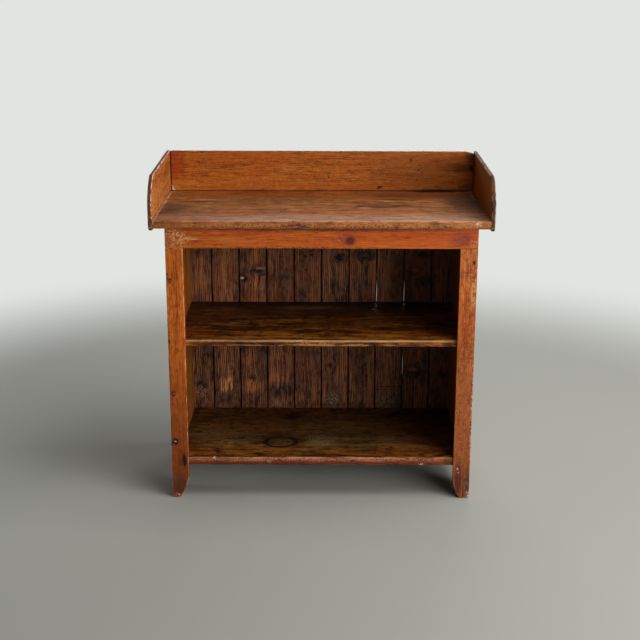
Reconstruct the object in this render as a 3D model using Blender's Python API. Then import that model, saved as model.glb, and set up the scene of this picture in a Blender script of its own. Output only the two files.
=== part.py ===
"""Bucket bench cabinet: an open pine case with two shelves, a boarded back and a gallery round its top.

Metres, +Z up, front towards -Y. The origin is on the floor, under the middle of the object's box.
Pieces that touch keep a gap of FIT, and every nail stands in a hole of its own.
"""
import math

import bmesh
import bpy
from mathutils import Vector

# Driving dimensions of the case
CASE_WIDTH = 0.889             # over the two front stiles
CASE_DEPTH = 0.448             # face of the stiles to the rear edges of the side panels
SIDE_THICK = 0.025
FRAME_THICK = 0.020            # stiles and top rail
STILE_WIDTH = 0.0495
RAIL_HEIGHT = 0.062

# Top board and the gallery round it
TOP_HEIGHT = 0.853             # floor to the working surface
TOP_THICK = 0.0225
TOP_FRONT_OVERHANG = 0.028
TOP_SIDE_OVERHANG = 0.0307     # stile edge to the inner face of a gallery side
TOP_NOSE_RADIUS = 0.006
GALLERY_HEIGHT = 0.126         # above the working surface, at the back
GALLERY_BACK_THICK = 0.016
GALLERY_SIDE_THICK = 0.012
GALLERY_LIP = 0.008            # how far the gallery sides hang below the top board
GALLERY_SETBACK = 0.001        # gallery side behind the front edge of the top board
GALLERY_FALL = 0.007           # how much lower the gallery sides are at the front
GALLERY_NOSE_LENGTH = 0.067    # bowed front corner of a gallery side, along the depth
GALLERY_NOSE_DROP = 0.074      # the same corner, down its front edge
GALLERY_NOSE_BOW = 0.011
GALLERY_TOE_RADIUS = 0.010     # lower front corner of a gallery side
WORN_CORNER_LENGTH = 0.026     # right upper corner of the gallery back
WORN_CORNER_DROP = 0.006

# Shelves
SHELF_HEIGHT = 0.4915          # floor to the upper face of the middle shelf
SHELF_THICK = 0.0187
SHELF_SETBACK = 0.012          # front edge behind the face of the stiles
BOTTOM_HEIGHT = 0.1277         # floor to the upper face of the bottom board
BOTTOM_THICK = 0.0245
BOTTOM_SETBACK = 0.0055
SHELF_NOSE_RADIUS = 0.006
HOUSING_DEPTH = 0.008          # grooves in the side panels that carry the shelves

# Boarded back, in rebates behind the side panels
BACK_THICK = 0.016
BACK_BOARD_PITCH = 0.0882
BACK_BOARD_GAP = 0.0034        # opened by shrinkage, over the lap
BACK_LAP = 0.008               # rear half of each board behind its right neighbour
BACK_LIP = 0.010               # side panel left outside the rebate
BACK_DROP = 0.010              # boards below the underside of the bottom board
END_BOARD_MIN = 0.030          # narrowest board left at either end

# Feet
FOOT_SOLE_LEFT = 0.024         # stile width left at the floor
FOOT_SOLE_RIGHT = 0.029
FOOT_BOW_LEFT = 0.001          # bulge of the sawn foot edge
FOOT_BOW_RIGHT = 0.005
FOOT_TAPER_HEIGHT = 0.064
SIDE_FOOT_FRONT = 0.085        # side panel left standing in front of its arch
SIDE_FOOT_REAR = 0.080
ARCH_HEADROOM = 0.029          # side panel left between its arch and the bottom board

# Cut nails
NAIL_LENGTH = 0.050
NAIL_HEAD_WIDTH = 0.0062
NAIL_HEAD_DEPTH = 0.0044
NAIL_HEAD_THICK = 0.0024
NAIL_SHANK_WIDTH = 0.0038
NAIL_SHANK_DEPTH = 0.0026
NAIL_TIP_WIDTH = 0.0016
NAIL_SET = 0.0006              # head below the face of the wood
NAIL_HOLE_MOUTH = 0.004        # cutter above the face of the wood
STILE_NAIL_LOW = 0.180
STILE_NAIL_MIDDLE = 0.330
STILE_NAIL_DROP = 0.096        # highest nail in a stile, below the rail
NAIL_EDGE_INSET = 0.016        # nails in the rail, from its upper and lower edges
TOP_NAIL_INSET = 0.110         # nails in the top board, from the front and rear of the side panels
TOP_RAIL_NAIL_INSET = 0.190    # nails in the top board, in from the ends of the rail
SHELF_NAIL_INSET = 0.090       # nails in the shelf ends, from the front and rear of the side panels
GALLERY_NAIL_INSET = 0.040     # nails in the gallery sides, from the ends of the top board
GALLERY_BACK_NAIL_INSET = 0.032

FIT = 0.0003                   # gap between pieces that touch
EASE = 0.0012                  # arrises taken off by hand
EASE_ANGLE = 0.7               # radians: corners sharper than this are eased
NOSE_SEGMENTS = 4
CURVE_STEPS = 10
ARCH_STEPS = 20
SAME_PLACE = 0.00001           # points closer than this are at one place

# Planes that several pieces share
HALF_WIDTH = CASE_WIDTH / 2
FRONT = -(CASE_DEPTH - TOP_FRONT_OVERHANG) / 2
BACK = FRONT + CASE_DEPTH
TOP_FRONT = FRONT - TOP_FRONT_OVERHANG
TOP_UNDER = TOP_HEIGHT - TOP_THICK
TOP_HALF = HALF_WIDTH + TOP_SIDE_OVERHANG
SIDE_FRONT = FRONT + FRAME_THICK + FIT
SIDE_INNER = HALF_WIDTH - SIDE_THICK
SIDE_MIDDLE = HALF_WIDTH - SIDE_THICK / 2
CASE_TOP = TOP_UNDER - FIT
RAIL_UNDER = CASE_TOP - RAIL_HEIGHT
BACK_FACE = BACK - BACK_THICK
BACK_HALF = HALF_WIDTH - BACK_LIP - FIT
BOTTOM_UNDER = BOTTOM_HEIGHT - BOTTOM_THICK
BACK_FOOT = BOTTOM_UNDER - BACK_DROP
ARCH_RISE = BOTTOM_UNDER - ARCH_HEADROOM
GALLERY_TOP = TOP_HEIGHT + GALLERY_HEIGHT
GALLERY_FACE = BACK - GALLERY_BACK_THICK

PLANES = {
    "X": lambda across, up, along: (along, across, up),
    "Y": lambda across, up, along: (across, along, up),
    "Z": lambda across, up, along: (across, up, along),
}
SIDES = (("left", -1.0), ("right", 1.0))


def clear_scene():
    for item in list(bpy.data.objects):
        bpy.data.objects.remove(item, do_unlink=True)


def make_material(name, colour, roughness, metallic=0.0):
    material = bpy.data.materials.new(name)
    material.use_nodes = True
    shader = material.node_tree.nodes["Principled BSDF"]
    shader.inputs["Base Color"].default_value = (*colour, 1.0)
    shader.inputs["Roughness"].default_value = roughness
    shader.inputs["Metallic"].default_value = metallic
    return material


def add_object(name, bm, material):
    """A mesh object under the empty that carries the whole bench, with its origin in its own middle."""
    corners = [Vector(edge(v.co[i] for v in bm.verts) for i in range(3)) for edge in (min, max)]
    middle = (corners[0] + corners[1]) / 2
    bmesh.ops.translate(bm, verts=bm.verts, vec=-middle)
    bmesh.ops.recalc_face_normals(bm, faces=bm.faces)
    mesh = bpy.data.meshes.new(name)
    bm.to_mesh(mesh)
    bm.free()
    item = bpy.data.objects.new(name, mesh)
    item.location = middle
    item.parent = bench
    if material:
        mesh.materials.append(material)
    bpy.context.scene.collection.objects.link(item)
    return item


def prism(outline, axis, low, high):
    """The outline lies across the axis, and is pushed along it from low to high."""
    bm = bmesh.new()
    place = PLANES[axis]
    face = bm.faces.new([bm.verts.new(place(across, up, low)) for across, up in outline])
    pushed = bmesh.ops.extrude_face_region(bm, geom=[face])["geom"]
    moved = [part for part in pushed if isinstance(part, bmesh.types.BMVert)]
    bmesh.ops.translate(bm, verts=moved, vec=Vector(place(0.0, 0.0, high - low)))
    return bm


def rectangle(low_across, high_across, low_up, high_up):
    return [(low_across, low_up), (high_across, low_up), (high_across, high_up), (low_across, high_up)]


def bowed(start, end, bow, steps=CURVE_STEPS):
    """Points from start to end on a shallow parabola that bulges to the left of the way along it."""
    start, end = Vector(start), Vector(end)
    normal = (end - start).orthogonal().normalized()
    points = []
    for step in range(steps + 1):
        share = step / steps
        points.append(tuple(start.lerp(end, share) + normal * bow * 4 * share * (1 - share)))
    return points


def round_front_edges(bm, radius):
    """Rounds the two long edges of the front face, which lies at the lowest Y."""
    front = min(v.co.y for v in bm.verts)
    lengthwise = [e for e in bm.edges
                  if all(abs(v.co.y - front) < SAME_PLACE for v in e.verts)
                  and abs(e.verts[0].co.z - e.verts[1].co.z) < SAME_PLACE]
    bmesh.ops.bevel(bm, geom=lengthwise, offset=radius, segments=NOSE_SEGMENTS, profile=0.5, affect="EDGES")


def ease(item):
    bevel = item.modifiers.new("eased arrises", "BEVEL")
    bevel.width = EASE
    bevel.segments = 1
    bevel.limit_method = "ANGLE"
    bevel.angle_limit = EASE_ANGLE
    return item


def cut(item, cutter):
    boolean = item.modifiers.new(cutter.name, "BOOLEAN")
    boolean.operation = "DIFFERENCE"
    boolean.object = cutter


def add_cutter(name, bm):
    cutter = add_object(name, bm, None)
    cutter.hide_render = True
    cutter.display_type = "WIRE"
    return cutter


def build_side(name, sign):
    """Side panel on two feet with an arch between, grooved for the shelves and rebated for the back."""
    arch_front = SIDE_FRONT + SIDE_FOOT_FRONT
    arch_rear = BACK - SIDE_FOOT_REAR
    middle = (arch_front + arch_rear) / 2
    half = (arch_rear - arch_front) / 2
    outline = [(BACK, 0.0), (BACK, CASE_TOP), (SIDE_FRONT, CASE_TOP), (SIDE_FRONT, 0.0)]
    for step in range(ARCH_STEPS + 1):
        turn = math.pi * step / ARCH_STEPS
        outline.append((middle - half * math.cos(turn), ARCH_RISE * math.sin(turn)))
    low, high = sorted((sign * SIDE_INNER, sign * HALF_WIDTH))
    side = ease(add_object(name, prism(outline, "X", low, high), finish_wood))
    groove = sorted((sign * (SIDE_INNER - HOUSING_DEPTH), sign * (SIDE_INNER + HOUSING_DEPTH)))
    levels = (("shelf", SHELF_HEIGHT, SHELF_THICK), ("bottom", BOTTOM_HEIGHT, BOTTOM_THICK))
    for label, height, thick in levels:
        opening = rectangle(SIDE_FRONT - SIDE_THICK, BACK + SIDE_THICK, height - thick - FIT, height + FIT)
        cut(side, add_cutter(f"{name}_{label}_groove", prism(opening, "X", *groove)))
    rebate = sorted((sign * (SIDE_INNER - SIDE_THICK), sign * (HALF_WIDTH - BACK_LIP)))
    opening = rectangle(BACK_FACE - FIT, BACK + SIDE_THICK, -SIDE_THICK, CASE_TOP + SIDE_THICK)
    cut(side, add_cutter(f"{name}_rebate", prism(opening, "X", *rebate)))
    return side


def build_stile(name, sign, sole, bow):
    """Front stile, its foot sawn away on the inner edge."""
    inner = HALF_WIDTH - STILE_WIDTH
    foot = bowed((HALF_WIDTH - sole, 0.0), (inner, FOOT_TAPER_HEIGHT), bow)
    outline = [(HALF_WIDTH, RAIL_UNDER - FIT), (HALF_WIDTH, 0.0), *foot, (inner, RAIL_UNDER - FIT)]
    outline = [(sign * across, up) for across, up in outline]
    return ease(add_object(name, prism(outline, "Y", FRONT, FRONT + FRAME_THICK), finish_wood))


def build_rail():
    outline = rectangle(-HALF_WIDTH, HALF_WIDTH, RAIL_UNDER, CASE_TOP)
    return ease(add_object("top_rail", prism(outline, "Y", FRONT, FRONT + FRAME_THICK), finish_wood))


def build_top():
    end = TOP_HALF - FIT
    bm = prism(rectangle(-end, end, TOP_FRONT, BACK), "Z", TOP_UNDER, TOP_HEIGHT)
    round_front_edges(bm, min(TOP_NOSE_RADIUS, TOP_THICK / 2 - FIT))
    return ease(add_object("top_board", bm, worn_wood))


def build_gallery_back():
    """Upright board on the rear of the top, with one upper corner worn away."""
    end = TOP_HALF - FIT
    low = TOP_HEIGHT + FIT
    outline = [(-end, low), (end, low), (end, GALLERY_TOP - WORN_CORNER_DROP),
               (end - WORN_CORNER_LENGTH, GALLERY_TOP), (-end, GALLERY_TOP)]
    return ease(add_object("gallery_back", prism(outline, "Y", GALLERY_FACE, BACK), finish_wood))


def build_gallery_side(name, sign):
    """Upright board over the end of the top, bowed off at its upper front corner."""
    front = TOP_FRONT + GALLERY_SETBACK
    low = TOP_UNDER - GALLERY_LIP
    shoulder = GALLERY_TOP - GALLERY_FALL
    nose = bowed((front + GALLERY_NOSE_LENGTH, shoulder), (front, shoulder - GALLERY_NOSE_DROP),
                 -GALLERY_NOSE_BOW)
    outline = [(BACK, low), (BACK, GALLERY_TOP), *nose,
               (front, low + GALLERY_TOE_RADIUS), (front + GALLERY_TOE_RADIUS, low)]
    low_x, high_x = sorted((sign * TOP_HALF, sign * (TOP_HALF + GALLERY_SIDE_THICK)))
    return ease(add_object(name, prism(outline, "X", low_x, high_x), finish_wood))


def build_shelf(name, height, thick, setback):
    """Shelf housed in the side panels and notched round the stiles, with a rounded front edge."""
    end = SIDE_INNER + HOUSING_DEPTH - FIT
    shoulder = HALF_WIDTH - STILE_WIDTH - FIT
    rear = BACK_FACE - FIT
    front = FRONT + setback
    outline = [(end, rear), (-end, rear), (-end, SIDE_FRONT), (-shoulder, SIDE_FRONT), (-shoulder, front),
               (shoulder, front), (shoulder, SIDE_FRONT), (end, SIDE_FRONT)]
    bm = prism(outline, "Z", height - thick, height)
    round_front_edges(bm, min(SHELF_NOSE_RADIUS, thick / 2 - FIT, SIDE_FRONT - front - FIT))
    return add_object(name, bm, shelf_wood)


def board_edge(across, lap, level):
    """One edge of a back board, front to rear. Behind the level it is set over by the lap."""
    if not lap:
        return [(across, BACK_FACE), (across, BACK)]
    return [(across, BACK_FACE), (across, level), (across + lap, level), (across + lap, BACK)]


def build_back_boards():
    """Upright lapped boards from the middle outwards, the last at each end ripped to what is left."""
    pairs = int((BACK_HALF - END_BOARD_MIN) / BACK_BOARD_PITCH)
    joints = [step * BACK_BOARD_PITCH for step in range(-pairs, pairs + 1)]
    edges = [-BACK_HALF - BACK_BOARD_GAP / 2, *joints, BACK_HALF + BACK_BOARD_GAP / 2]
    count = len(edges) - 1
    for number, (left, right) in enumerate(zip(edges, edges[1:]), start=1):
        left_lap = BACK_LAP if number > 1 else 0.0
        right_lap = BACK_LAP if number < count else 0.0
        outline = board_edge(left + BACK_BOARD_GAP / 2, left_lap, (BACK_FACE + BACK - FIT) / 2)
        outline += reversed(board_edge(right - BACK_BOARD_GAP / 2, right_lap, (BACK_FACE + BACK + FIT) / 2))
        bm = prism(outline, "Z", BACK_FOOT, CASE_TOP)
        ease(add_object(f"back_board_{number:02d}", bm, back_wood))


def nail_rings(room, mouth):
    """Sections of a cut nail from its head to its tip: width, depth and height, larger by room all round."""
    head = (NAIL_HEAD_WIDTH + 2 * room, NAIL_HEAD_DEPTH + 2 * room)
    shank = (NAIL_SHANK_WIDTH + 2 * room, NAIL_SHANK_DEPTH + 2 * room)
    tip = (NAIL_TIP_WIDTH + 2 * room, NAIL_SHANK_DEPTH + 2 * room)
    throat = -NAIL_SET - NAIL_HEAD_THICK - room
    return [(*head, mouth), (*head, throat), (*shank, throat), (*tip, -NAIL_LENGTH - room)]


def loft(rings):
    """Joins rectangular sections, from the top down, into one closed solid."""
    bm = bmesh.new()
    loops = []
    for width, depth, height in rings:
        x, y = width / 2, depth / 2
        corners = ((-x, -y), (x, -y), (x, y), (-x, y))
        loops.append([bm.verts.new((across, along, height)) for across, along in corners])
    bm.faces.new(loops[0])
    for upper, lower in zip(loops, loops[1:]):
        for step in range(4):
            nearby = (step + 1) % 4
            bm.faces.new((upper[step], lower[step], lower[nearby], upper[nearby]))
    bm.faces.new(reversed(loops[-1]))
    return bm


def drive_nail(name, place, direction, pieces):
    """Sets a nail whose hole starts at place, on the face of the first piece, and runs through the pieces."""
    turn = Vector(direction).to_track_quat("-Z", "Y")
    nail = add_object(name, loft(nail_rings(0.0, -NAIL_SET)), iron)
    hole = add_cutter(f"{name}_hole", loft(nail_rings(FIT, NAIL_HOLE_MOUTH)))
    for item in (nail, hole):
        item.rotation_mode = "QUATERNION"
        item.rotation_quaternion = turn
        item.location = Vector(place) + turn @ item.location
    for piece in pieces:
        cut(piece, hole)


def nail_case(side, sign, panel, stile):
    """Nails through the front frame, and through the side panel into the shelf ends."""
    edge = sign * SIDE_MIDDLE
    heights = (STILE_NAIL_LOW, STILE_NAIL_MIDDLE, RAIL_UNDER - STILE_NAIL_DROP)
    for number, height in enumerate(heights, start=1):
        drive_nail(f"nail_stile_{side}_{number}", (edge, FRONT, height), (0, 1, 0), (stile, panel))
    for number, height in enumerate((RAIL_UNDER + NAIL_EDGE_INSET, CASE_TOP - NAIL_EDGE_INSET), start=1):
        drive_nail(f"nail_rail_{side}_{number}", (edge, FRONT, height), (0, 1, 0), (rail, panel))
    for number, depth in enumerate((SIDE_FRONT + TOP_NAIL_INSET, BACK - TOP_NAIL_INSET), start=1):
        drive_nail(f"nail_top_{side}_{number}", (edge, depth, TOP_HEIGHT), (0, 0, -1), (top, panel))
    levels = (("shelf", shelf, SHELF_HEIGHT - SHELF_THICK / 2),
              ("bottom", bottom, BOTTOM_HEIGHT - BOTTOM_THICK / 2))
    for label, board, height in levels:
        for number, depth in enumerate((SIDE_FRONT + SHELF_NAIL_INSET, BACK - SHELF_NAIL_INSET), start=1):
            place = (sign * HALF_WIDTH, depth, height)
            drive_nail(f"nail_{label}_{side}_{number}", place, (-sign, 0, 0), (panel, board))


def nail_gallery(side, sign, gallery):
    """Nails through a gallery side into the ends of the top board and of the gallery back."""
    face = sign * (TOP_HALF + GALLERY_SIDE_THICK)
    middle = (TOP_FRONT + BACK) / 2
    depths = (TOP_FRONT + GALLERY_NAIL_INSET, middle, BACK - GALLERY_NAIL_INSET)
    for number, depth in enumerate(depths, start=1):
        place = (face, depth, TOP_HEIGHT - TOP_THICK / 2)
        drive_nail(f"nail_gallery_{side}_{number}", place, (-sign, 0, 0), (gallery, top))
    heights = (TOP_HEIGHT + GALLERY_BACK_NAIL_INSET, GALLERY_TOP - GALLERY_BACK_NAIL_INSET)
    for number, height in enumerate(heights, start=1):
        place = (face, BACK - GALLERY_BACK_THICK / 2, height)
        drive_nail(f"nail_gallery_back_{side}_{number}", place, (-sign, 0, 0), (gallery, gallery_back))


clear_scene()
bench = bpy.data.objects.new("bucket_bench", None)
bpy.context.scene.collection.objects.link(bench)

finish_wood = make_material("orange_pine_finish", (0.30, 0.105, 0.030), 0.45)
worn_wood = make_material("worn_pine_top", (0.24, 0.095, 0.035), 0.50)
shelf_wood = make_material("dark_pine_shelf", (0.14, 0.055, 0.020), 0.55)
back_wood = make_material("dark_pine_back", (0.085, 0.036, 0.020), 0.60)
iron = make_material("rusted_iron", (0.10, 0.075, 0.060), 0.60, metallic=0.8)

rail = build_rail()
top = build_top()
gallery_back = build_gallery_back()
shelf = build_shelf("shelf_middle", SHELF_HEIGHT, SHELF_THICK, SHELF_SETBACK)
bottom = build_shelf("shelf_bottom", BOTTOM_HEIGHT, BOTTOM_THICK, BOTTOM_SETBACK)
build_back_boards()
feet = {"left": (FOOT_SOLE_LEFT, FOOT_BOW_LEFT), "right": (FOOT_SOLE_RIGHT, FOOT_BOW_RIGHT)}
for side, sign in SIDES:
    panel = build_side(f"side_panel_{side}", sign)
    stile = build_stile(f"front_stile_{side}", sign, *feet[side])
    gallery = build_gallery_side(f"gallery_side_{side}", sign)
    nail_case(side, sign, panel, stile)
    nail_gallery(side, sign, gallery)
rail_nail = HALF_WIDTH - TOP_RAIL_NAIL_INSET
for number, across in enumerate((-rail_nail, rail_nail), start=1):
    place = (across, FRONT + FRAME_THICK / 2, TOP_HEIGHT)
    drive_nail(f"nail_top_rail_{number}", place, (0, 0, -1), (top, rail))
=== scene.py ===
"""Looks of the bucket bench cabinet: worn boards, their finish, and soft daylight from the right.

Metres, +Z up, front towards -Y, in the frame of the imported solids. Every wooden solid is replaced by a board
of the same outline with worn arrises, nicks, pits and nail holes, which never reaches outside the solid.
"""
import math
import random

import bmesh
import bpy
from mathutils import Matrix, Vector, noise
from mathutils.kdtree import KDTree


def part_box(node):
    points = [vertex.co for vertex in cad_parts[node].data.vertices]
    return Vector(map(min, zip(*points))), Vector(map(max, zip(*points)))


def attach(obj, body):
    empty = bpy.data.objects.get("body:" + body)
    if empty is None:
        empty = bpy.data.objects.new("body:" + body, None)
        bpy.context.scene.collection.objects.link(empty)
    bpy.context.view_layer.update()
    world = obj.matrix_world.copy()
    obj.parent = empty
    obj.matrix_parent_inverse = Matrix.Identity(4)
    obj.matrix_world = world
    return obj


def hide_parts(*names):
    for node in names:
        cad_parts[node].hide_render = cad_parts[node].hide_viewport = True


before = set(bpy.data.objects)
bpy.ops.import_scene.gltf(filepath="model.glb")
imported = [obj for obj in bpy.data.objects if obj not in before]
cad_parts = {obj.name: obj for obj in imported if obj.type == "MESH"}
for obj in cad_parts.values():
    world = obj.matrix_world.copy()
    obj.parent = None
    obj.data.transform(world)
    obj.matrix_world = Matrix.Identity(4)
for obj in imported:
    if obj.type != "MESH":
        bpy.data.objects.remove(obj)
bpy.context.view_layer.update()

# Sizes of the design that a node's box doesn't give
FOOT_SOLE = {"left": 0.024, "right": 0.029}
FOOT_BOW = {"left": 0.001, "right": 0.005}
FOOT_TAPER_HEIGHT = 0.064
GALLERY_FALL = 0.007
GALLERY_NOSE_LENGTH = 0.067
GALLERY_NOSE_DROP = 0.074
GALLERY_NOSE_BOW = 0.011
GALLERY_TOE_RADIUS = 0.010
WORN_CORNER_LENGTH = 0.026
WORN_CORNER_DROP = 0.006
SIDE_FOOT_FRONT = 0.085
SIDE_FOOT_REAR = 0.080
ARCH_RISE = 0.0742
HOUSING_DEPTH = 0.008
BACK_LIP = 0.010
BACK_LAP = 0.008
NOSE_RADIUS = 0.006
FIT = 0.0003

# How the boards are meshed and worn
SPACING = 0.004  # points along an outline
RING_STEP = 0.010  # points along a back board
ARRIS_SEGMENTS = 3
ARRIS_ANGLE = 0.7  # radians: corners sharper than this are arrises
CURVE_STEPS = 12
ARCH_STEPS = 28
TOUCH = 0.00002  # points closer than this are at one place
PLACE_DIGITS = 5  # decimals of a place by which points are sorted
CUTTER_MOUTH = 0.004  # cutters stand this far out of the wood
WEAR_FREQUENCY = 38.0
WEAR_NOISE = (1.0, 2.1, 3)  # dimension, lacunarity and octaves
WEAR_LEVEL = 0.45  # wear that is everywhere, in depths of wear
DENT_REACH = (0.003, 0.009)
DENT_BITE = (0.7, 2.0)  # in depths of wear
SQUARE_ON = 0.9  # cosine: normals this near to the thickness are of the broad faces

SIDES = (("left", -1.0), ("right", 1.0))
AXIS = {"X": 0, "Y": 1, "Z": 2}
PLANES = {
    "X": lambda across, up, along: (along, across, up),
    "Y": lambda across, up, along: (across, along, up),
    "Z": lambda across, up, along: (across, up, along),
}


# Mesh tools
def rectangle(low_across, high_across, low_up, high_up):
    return [(low_across, low_up), (high_across, low_up), (high_across, high_up), (low_across, high_up)]


def bowed(start, end, bow):
    """Points from start to end on a shallow parabola that bulges to the left of the way along it."""
    start, end = Vector(start), Vector(end)
    normal = (end - start).orthogonal().normalized()
    points = []
    for step in range(CURVE_STEPS + 1):
        share = step / CURVE_STEPS
        points.append(tuple(start.lerp(end, share) + normal * bow * 4 * share * (1 - share)))
    return points


def dense(outline):
    """The same closed outline with points no further apart than the spacing."""
    points = []
    for start, end in zip(outline, outline[1:] + outline[:1]):
        start, end = Vector(start), Vector(end)
        steps = max(1, round((end - start).length / SPACING))
        points += [tuple(start.lerp(end, step / steps)) for step in range(steps)]
    return points


def prism(outline, axis, low, high):
    """The outline lies across the axis, and is pushed along it from low to high."""
    bm = bmesh.new()
    place = PLANES[axis]
    face = bm.faces.new([bm.verts.new(place(across, up, low)) for across, up in outline])
    pushed = bmesh.ops.extrude_face_region(bm, geom=[face])["geom"]
    moved = [part for part in pushed if isinstance(part, bmesh.types.BMVert)]
    bmesh.ops.translate(bm, verts=moved, vec=Vector(place(0, 0, high - low)))
    bmesh.ops.recalc_face_normals(bm, faces=bm.faces)
    return bm


def new_object(name, bm):
    mesh = bpy.data.meshes.new(name)
    bm.to_mesh(mesh)
    bm.free()
    item = bpy.data.objects.new(name, mesh)
    bpy.context.scene.collection.objects.link(item)
    return item


def carve(bm, cutters):
    """Takes the cutters' solids out of a board, one after another."""
    board = new_object("carving", bm)
    tools = [new_object("cutter", cutter) for cutter in cutters]
    for tool in tools:
        boolean = board.modifiers.new("carve", "BOOLEAN")
        boolean.operation = "DIFFERENCE"
        boolean.object = tool
    graph = bpy.context.evaluated_depsgraph_get()
    carved = bmesh.new()
    carved.from_mesh(board.evaluated_get(graph).to_mesh())
    for item in [board, *tools]:
        mesh = item.data
        bpy.data.objects.remove(item, do_unlink=True)
        bpy.data.meshes.remove(mesh)
    return carved


def nail_cutter(piece):
    """Holes for all the nails that reach into the piece, or None."""
    low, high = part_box(piece)
    cutter = bmesh.new()
    for name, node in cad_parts.items():
        if not name.startswith("nail_"):
            continue
        nail_low, nail_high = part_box(name)
        if any(nail_high[i] < low[i] or nail_low[i] > high[i] for i in range(3)):
            continue
        size = nail_high - nail_low
        length = max(range(3), key=lambda i: size[i])
        wide = max((i for i in range(3) if i != length), key=lambda i: size[i])
        middle = (nail_low + nail_high) / 2
        nail = bmesh.new()
        nail.from_mesh(node.data)
        bmesh.ops.remove_doubles(nail, verts=nail.verts, dist=TOUCH)
        ends = []
        for end in (nail_low, nail_high):
            ring = [v.co for v in nail.verts if abs(v.co[length] - end[length]) < TOUCH]
            ends.append(max(abs(co[wide] - middle[wide]) for co in ring))
        head = nail_high[length] if ends[1] > ends[0] else nail_low[length]
        for v in nail.verts:
            for i in range(3):
                side = math.copysign(1.0, v.co[i] - middle[i])
                v.co[i] += side * (CUTTER_MOUTH if i == length and abs(v.co[i] - head) < TOUCH else FIT)
        bmesh.ops.recalc_face_normals(nail, faces=nail.faces)
        mesh = bpy.data.meshes.new("nail_hole")
        nail.to_mesh(mesh)
        nail.free()
        cutter.from_mesh(mesh)
        bpy.data.meshes.remove(mesh)
    return cutter if cutter.faces else None


def pit_cutter(pits):
    """Small hollows: a place on the surface and the reach along each axis."""
    cutter = bmesh.new()
    for place, reach in pits:
        matrix = Matrix.Translation(place) @ Matrix.Diagonal((*reach, 1.0))
        bmesh.ops.create_icosphere(cutter, subdivisions=2, radius=1.0, matrix=matrix)
    return cutter


def place_tree(places):
    tree = KDTree(len(places))
    for index, place in enumerate(places):
        tree.insert(place, index)
    tree.balance()
    return tree


def round_arrises(bm, tree, axis, radius, chosen):
    """Rounds the sharp outer edges that lie on the outline, and marks their new faces."""
    mark = bm.faces.layers.int.get("arris") or bm.faces.layers.int.new("arris")
    cross = [i for i in range(3) if i != AXIS[axis]]

    def on_outline(v):
        return tree.find((v.co[cross[0]], v.co[cross[1]], 0))[2] < TOUCH

    edges = [e for e in bm.edges if e.is_manifold and e.is_convex and e.calc_face_angle(0) > ARRIS_ANGLE
             and all(on_outline(v) for v in e.verts) and chosen(e)]
    made = bmesh.ops.bevel(bm, geom=edges, offset=radius, segments=ARRIS_SEGMENTS, profile=0.5,
                           affect="EDGES", clamp_overlap=True)
    for face in made["faces"]:
        face[mark] = 1


def wear_arrises(bm, axis, depth, seed, nicks, dents, by_place):
    """Wears the rounded arrises down unevenly, with nicks at given places and dents at random ones."""
    mark = bm.faces.layers.int["arris"]
    edge = bm.verts.layers.float.new("edge")
    along = Vector(PLANES[axis](0, 0, 1.0))
    draw = random.Random(seed)
    bm.normal_update()
    arris = [v for v in bm.verts if any(f[mark] for f in v.link_faces)]
    middle = [v for v in arris if all(f[mark] for f in v.link_faces)]
    if by_place:
        middle.sort(key=lambda v: [round(part, PLACE_DIGITS) for part in v.co])
    tree = place_tree([v.co for v in arris])
    push = []
    for v in arris:
        wear = noise.fractal(v.co * WEAR_FREQUENCY + Vector((seed, 0, 0)), *WEAR_NOISE)
        push.append(depth * max(0, WEAR_LEVEL + wear))
    bites = list(nicks)
    for _ in range(dents if middle else 0):
        place = draw.choice(middle).co.copy()
        bites.append((place, draw.uniform(*DENT_REACH), depth * draw.uniform(*DENT_BITE)))
    for place, reach, bite in bites:
        for _, index, gap in tree.find_range(Vector(place), reach):
            push[index] += bite * (1 - (gap / reach) ** 2)
    for v, amount in zip(arris, push):
        way = -v.normal
        others = [f.normal for f in v.link_faces if not f[mark]]
        if any(abs(n.dot(along)) > SQUARE_ON for n in others):
            way -= along * way.dot(along)
        elif others:
            way = along * way.dot(along)
        v.co += way * amount
    for v in middle:
        v[edge] = 1.0
    for face in bm.faces:
        face.smooth = bool(face[mark])


def add_piece(node, bm, material):
    piece = new_object(f"{node}_worn", bm)
    piece.data.materials.append(material)
    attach(piece, "root")
    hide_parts(node)


def add_board(node, outline, axis, material, *, radius, wear, seed, dents, nose=False,
              cutters=(), pits=(), nicks=(), by_place=False):
    """A worn board with the outline, as thick as the node is along the axis. A nose is round in front.

    Where carving leaves the points in no fixed order, by_place sorts those that dents are drawn from.
    """
    low, high = (corner[AXIS[axis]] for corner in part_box(node))
    points = dense(outline)
    bm = prism(points, axis, low, high)
    tools = [cutter for cutter in (nail_cutter(node), pit_cutter(pits) if pits else None) if cutter]
    tools += cutters
    if tools:
        bm = carve(bm, tools)
    tree = place_tree([(across, up, 0) for across, up in points])

    def lies_at(e, depth):
        return all(abs(v.co.y - depth) < TOUCH for v in e.verts)

    if nose:
        front = min(v.co.y for v in bm.verts)
        round_arrises(bm, tree, axis, NOSE_RADIUS,
                      lambda e: lies_at(e, front) and abs(e.verts[0].co.z - e.verts[1].co.z) < TOUCH)
        rear = max(v.co.y for v in bm.verts)
        round_arrises(bm, tree, axis, radius, lambda e: lies_at(e, rear))
    else:
        round_arrises(bm, tree, axis, radius, lambda e: True)
    wear_arrises(bm, axis, wear, seed, nicks, dents, by_place)
    add_piece(node, bm, material)


# Node tools
def srgb(colour):
    """A colour as a screen shows it, 0xRRGGBB, as linear values."""
    shares = [(colour >> shift & 255) / 255 for shift in range(16, -1, -8)]
    return tuple(s / 12.92 if s <= 0.04045 else ((s + 0.055) / 1.055) ** 2.4 for s in shares)


def darker(colour, share):
    return tuple(share * value for value in colour)


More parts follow.
